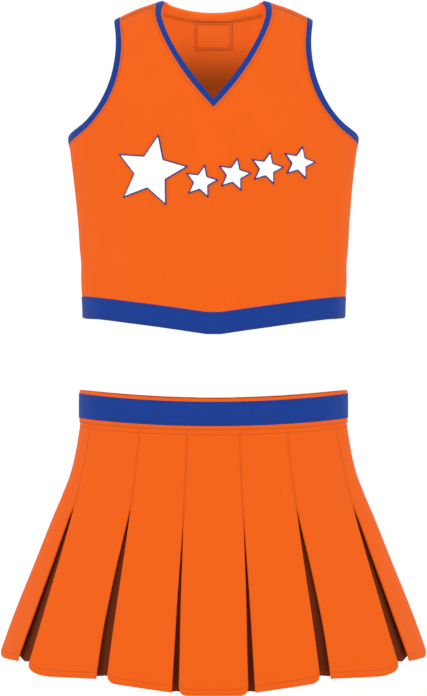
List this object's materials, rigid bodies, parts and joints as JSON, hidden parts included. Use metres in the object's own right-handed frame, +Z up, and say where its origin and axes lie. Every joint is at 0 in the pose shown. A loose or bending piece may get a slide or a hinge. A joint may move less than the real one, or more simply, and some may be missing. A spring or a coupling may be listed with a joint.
{
  "type": "cheer uniform",
  "caption": "Sleeveless V-neck cheer top with star appliques and a chevron hem, over a box-pleated skirt with a striped waistband and a back zip.",
  "frame": {"origin": "the middle of the skirt's waist opening, level with the waistband's top edge at the side seams", "axes": "+Z up the wearer's body, -Y out of the front (emblem side), +X to the wearer's left"},
  "size_m": [0.483, 0.336, 0.7671],
  "materials": {
    "orange_knit": "matte heavy double knit",
    "blue_trim": "matte knit binding and stripe",
    "lining": "matte light knit lining",
    "white_twill": "matte twill applique",
    "zip_tape": "woven tape",
    "zip_coil": "nylon coil",
    "steel": "nickel-plated, satin"
  },
  "bodies": {
    "skirt": {"waistband_front": "orange_knit", "waistband_left": "orange_knit", "waistband_right": "orange_knit", "waist_stripe_front": "blue_trim", "waist_stripe_left": "blue_trim", "waist_stripe_right": "blue_trim", "waistband_lining": "lining", "hip_yoke_front": "orange_knit", "hip_yoke_back": "orange_knit", "zip_tape_left": "zip_tape", "zip_tape_right": "zip_tape", "zip_teeth_left": "zip_coil", "zip_teeth_right": "zip_coil", "zip_stops": "steel", "snap_studs": "steel"},
    "top": {"front_panel": "orange_knit", "back_panel": "orange_knit", "hem_band_front": "blue_trim", "hem_band_back": "blue_trim", "neck_trim_left": "blue_trim", "neck_trim_right": "blue_trim", "armhole_trim_left": "blue_trim", "armhole_trim_right": "blue_trim", "back_neck_facing": "lining", "label_patch": "lining", "emblem_backing": "blue_trim", "emblem_facing": "white_twill"},
    "closure_tab_body": {"closure_tab": "orange_knit", "closure_tab_stripe": "blue_trim", "snap_sockets": "steel"},
    "slider": {"zip_slider": "steel"},
    "pull": {"zip_pull": "steel"},
    "pleat_01_panel": {"pleat_01": "orange_knit"},
    "pleat_02_panel": {"pleat_02": "orange_knit"},
    "pleat_03_panel": {"pleat_03": "orange_knit"},
    "pleat_04_panel": {"pleat_04": "orange_knit"},
    "pleat_05_panel": {"pleat_05": "orange_knit"},
    "pleat_06_panel": {"pleat_06": "orange_knit"},
    "pleat_07_panel": {"pleat_07": "orange_knit"},
    "pleat_08_panel": {"pleat_08": "orange_knit"},
    "pleat_09_panel": {"pleat_09": "orange_knit"},
    "pleat_10_panel": {"pleat_10": "orange_knit"},
    "pleat_11_panel": {"pleat_11": "orange_knit"},
    "pleat_12_panel": {"pleat_12": "orange_knit"},
    "pleat_13_panel": {"pleat_13": "orange_knit"},
    "pleat_14_panel": {"pleat_14": "orange_knit"},
    "underlay_01_cloth": {"underlay_01": "orange_knit"},
    "underlay_02_cloth": {"underlay_02": "orange_knit"},
    "underlay_03_cloth": {"underlay_03": "orange_knit"},
    "underlay_04_cloth": {"underlay_04": "orange_knit"},
    "underlay_05_cloth": {"underlay_05": "orange_knit"},
    "underlay_06_cloth": {"underlay_06": "orange_knit"},
    "underlay_07_cloth": {"underlay_07": "orange_knit"},
    "underlay_08_cloth": {"underlay_08": "orange_knit"},
    "underlay_09_cloth": {"underlay_09": "orange_knit"},
    "underlay_10_cloth": {"underlay_10": "orange_knit"},
    "underlay_11_cloth": {"underlay_11": "orange_knit"},
    "underlay_12_cloth": {"underlay_12": "orange_knit"},
    "underlay_13_cloth": {"underlay_13": "orange_knit"},
    "underlay_14_cloth": {"underlay_14": "orange_knit"}
  },
  "joints": [
    {"name": "top_lift", "type": "slide", "parent": "skirt", "child": "top", "axis": [0, 0, 1], "range_m": [0, 0.5]},
    {"name": "waist_tab", "type": "hinge", "parent": "skirt", "child": "closure_tab_body", "pos_m": [0.0259, 0.0987, -0.02], "axis": [0, 0, -1], "range_deg": [0, 90]},
    {"name": "zip_run", "type": "slide", "parent": "skirt", "child": "slider", "axis": [0, 0.1553, -0.9879], "range_m": [0, 0.068]},
    {"name": "zip_pull_tab", "type": "hinge", "parent": "slider", "child": "pull", "pos_m": [0, 0.10019, -0.04818], "axis": [1, 0, 0], "range_deg": [0, 150]},
    {"name": "flare_pleat_01", "type": "hinge", "parent": "skirt", "child": "pleat_01_panel", "pos_m": [0, -0.11337, -0.14173], "axis": [-1, 0, 0], "range_deg": [0, 35]},
    {"name": "flare_pleat_02", "type": "hinge", "parent": "skirt", "child": "pleat_02_panel", "pos_m": [0.06526, -0.10558, -0.13947], "axis": [-0.9665, -0.2464, -0.0715], "range_deg": [0, 35]},
    {"name": "flare_pleat_03", "type": "hinge", "parent": "skirt", "child": "pleat_03_panel", "pos_m": [0.12717, -0.07546, -0.1324], "axis": [-0.8082, -0.5758, -0.1241], "range_deg": [0, 35]},
    {"name": "flare_pleat_04", "type": "hinge", "parent": "skirt", "child": "pleat_04_panel", "pos_m": [0.16819, -0.02656, -0.12549], "axis": [-0.3412, -0.9371, -0.0739], "range_deg": [0, 35]},
    {"name": "flare_pleat_05", "type": "hinge", "parent": "skirt", "child": "pleat_05_panel", "pos_m": [0.16819, 0.02656, -0.12549], "axis": [0.3412, -0.9371, 0.0739], "range_deg": [0, 35]},
    {"name": "flare_pleat_06", "type": "hinge", "parent": "skirt", "child": "pleat_06_panel", "pos_m": [0.12717, 0.07546, -0.1324], "axis": [0.8082, -0.5758, 0.1241], "range_deg": [0, 35]},
    {"name": "flare_pleat_07", "type": "hinge", "parent": "skirt", "child": "pleat_07_panel", "pos_m": [0.06526, 0.10558, -0.13947], "axis": [0.9665, -0.2464, 0.0715], "range_deg": [0, 35]},
    {"name": "flare_pleat_08", "type": "hinge", "parent": "skirt", "child": "pleat_08_panel", "pos_m": [0, 0.11337, -0.14173], "axis": [1, 0, 0], "range_deg": [0, 35]},
    {"name": "flare_pleat_09", "type": "hinge", "parent": "skirt", "child": "pleat_09_panel", "pos_m": [-0.06526, 0.10558, -0.13947], "axis": [0.9665, 0.2464, -0.0715], "range_deg": [0, 35]},
    {"name": "flare_pleat_10", "type": "hinge", "parent": "skirt", "child": "pleat_10_panel", "pos_m": [-0.12717, 0.07546, -0.1324], "axis": [0.8082, 0.5758, -0.1241], "range_deg": [0, 35]},
    {"name": "flare_pleat_11", "type": "hinge", "parent": "skirt", "child": "pleat_11_panel", "pos_m": [-0.16819, 0.02656, -0.12549], "axis": [0.3412, 0.9371, -0.0739], "range_deg": [0, 35]},
    {"name": "flare_pleat_12", "type": "hinge", "parent": "skirt", "child": "pleat_12_panel", "pos_m": [-0.16819, -0.02656, -0.12549], "axis": [-0.3412, 0.9371, 0.0739], "range_deg": [0, 35]},
    {"name": "flare_pleat_13", "type": "hinge", "parent": "skirt", "child": "pleat_13_panel", "pos_m": [-0.12717, -0.07546, -0.1324], "axis": [-0.8082, 0.5758, 0.1241], "range_deg": [0, 35]},
    {"name": "flare_pleat_14", "type": "hinge", "parent": "skirt", "child": "pleat_14_panel", "pos_m": [-0.06526, -0.10558, -0.13947], "axis": [-0.9665, 0.2464, 0.0715], "range_deg": [0, 35]},
    {"name": "flare_underlay_01", "type": "hinge", "parent": "skirt", "child": "underlay_01_cloth", "pos_m": [0.0342, -0.10789, -0.14473], "axis": [-0.9926, -0.1216, 0], "range_deg": [0, 35]},
    {"name": "flare_underlay_02", "type": "hinge", "parent": "skirt", "child": "underlay_02_cloth", "pos_m": [0.09397, -0.09273, -0.14021], "axis": [-0.9112, -0.412, 0], "range_deg": [0, 35]},
    {"name": "flare_underlay_03", "type": "hinge", "parent": "skirt", "child": "underlay_03_cloth", "pos_m": [0.15486, -0.04964, -0.13059], "axis": [-0.6176, -0.7865, 0], "range_deg": [0, 35]},
    {"name": "flare_underlay_04", "type": "hinge", "parent": "skirt", "child": "underlay_04_cloth", "pos_m": [0.17306, 0, -0.1264], "axis": [0, -1, 0], "range_deg": [0, 35]},
    {"name": "flare_underlay_05", "type": "hinge", "parent": "skirt", "child": "underlay_05_cloth", "pos_m": [0.15486, 0.04964, -0.13059], "axis": [0.6176, -0.7865, 0], "range_deg": [0, 35]},
    {"name": "flare_underlay_06", "type": "hinge", "parent": "skirt", "child": "underlay_06_cloth", "pos_m": [0.09397, 0.09273, -0.14021], "axis": [0.9112, -0.412, 0], "range_deg": [0, 35]},
    {"name": "flare_underlay_07", "type": "hinge", "parent": "skirt", "child": "underlay_07_cloth", "pos_m": [0.0342, 0.10789, -0.14473], "axis": [0.9926, -0.1216, 0], "range_deg": [0, 35]},
    {"name": "flare_underlay_08", "type": "hinge", "parent": "skirt", "child": "underlay_08_cloth", "pos_m": [-0.0342, 0.10789, -0.14473], "axis": [0.9926, 0.1216, 0], "range_deg": [0, 35]},
    {"name": "flare_underlay_09", "type": "hinge", "parent": "skirt", "child": "underlay_09_cloth", "pos_m": [-0.09397, 0.09273, -0.14021], "axis": [0.9112, 0.412, 0], "range_deg": [0, 35]},
    {"name": "flare_underlay_10", "type": "hinge", "parent": "skirt", "child": "underlay_10_cloth", "pos_m": [-0.15486, 0.04964, -0.13059], "axis": [0.6176, 0.7865, 0], "range_deg": [0, 35]},
    {"name": "flare_underlay_11", "type": "hinge", "parent": "skirt", "child": "underlay_11_cloth", "pos_m": [-0.17306, 0, -0.1264], "axis": [0, 1, 0], "range_deg": [0, 35]},
    {"name": "flare_underlay_12", "type": "hinge", "parent": "skirt", "child": "underlay_12_cloth", "pos_m": [-0.15486, -0.04964, -0.13059], "axis": [-0.6176, 0.7865, 0], "range_deg": [0, 35]},
    {"name": "flare_underlay_13", "type": "hinge", "parent": "skirt", "child": "underlay_13_cloth", "pos_m": [-0.09397, -0.09273, -0.14021], "axis": [-0.9112, 0.412, 0], "range_deg": [0, 35]},
    {"name": "flare_underlay_14", "type": "hinge", "parent": "skirt", "child": "underlay_14_cloth", "pos_m": [-0.0342, -0.10789, -0.14473], "axis": [-0.9926, 0.1216, 0], "range_deg": [0, 35]}
  ],
  "couplings": [
    {"joint": "flare_pleat_02", "follows": "flare_pleat_01", "ratio": 1},
    {"joint": "flare_pleat_03", "follows": "flare_pleat_01", "ratio": 1},
    {"joint": "flare_pleat_04", "follows": "flare_pleat_01", "ratio": 1},
    {"joint": "flare_pleat_05", "follows": "flare_pleat_01", "ratio": 1},
    {"joint": "flare_pleat_06", "follows": "flare_pleat_01", "ratio": 1},
    {"joint": "flare_pleat_07", "follows": "flare_pleat_01", "ratio": 1},
    {"joint": "flare_pleat_08", "follows": "flare_pleat_01", "ratio": 1},
    {"joint": "flare_pleat_09", "follows": "flare_pleat_01", "ratio": 1},
    {"joint": "flare_pleat_10", "follows": "flare_pleat_01", "ratio": 1},
    {"joint": "flare_pleat_11", "follows": "flare_pleat_01", "ratio": 1},
    {"joint": "flare_pleat_12", "follows": "flare_pleat_01", "ratio": 1},
    {"joint": "flare_pleat_13", "follows": "flare_pleat_01", "ratio": 1},
    {"joint": "flare_pleat_14", "follows": "flare_pleat_01", "ratio": 1},
    {"joint": "flare_underlay_01", "follows": "flare_pleat_01", "ratio": 1},
    {"joint": "flare_underlay_02", "follows": "flare_pleat_01", "ratio": 1},
    {"joint": "flare_underlay_03", "follows": "flare_pleat_01", "ratio": 1},
    {"joint": "flare_underlay_04", "follows": "flare_pleat_01", "ratio": 1},
    {"joint": "flare_underlay_05", "follows": "flare_pleat_01", "ratio": 1},
    {"joint": "flare_underlay_06", "follows": "flare_pleat_01", "ratio": 1},
    {"joint": "flare_underlay_07", "follows": "flare_pleat_01", "ratio": 1},
    {"joint": "flare_underlay_08", "follows": "flare_pleat_01", "ratio": 1},
    {"joint": "flare_underlay_09", "follows": "flare_pleat_01", "ratio": 1},
    {"joint": "flare_underlay_10", "follows": "flare_pleat_01", "ratio": 1},
    {"joint": "flare_underlay_11", "follows": "flare_pleat_01", "ratio": 1},
    {"joint": "flare_underlay_12", "follows": "flare_pleat_01", "ratio": 1},
    {"joint": "flare_underlay_13", "follows": "flare_pleat_01", "ratio": 1},
    {"joint": "flare_underlay_14", "follows": "flare_pleat_01", "ratio": 1}
  ]
}
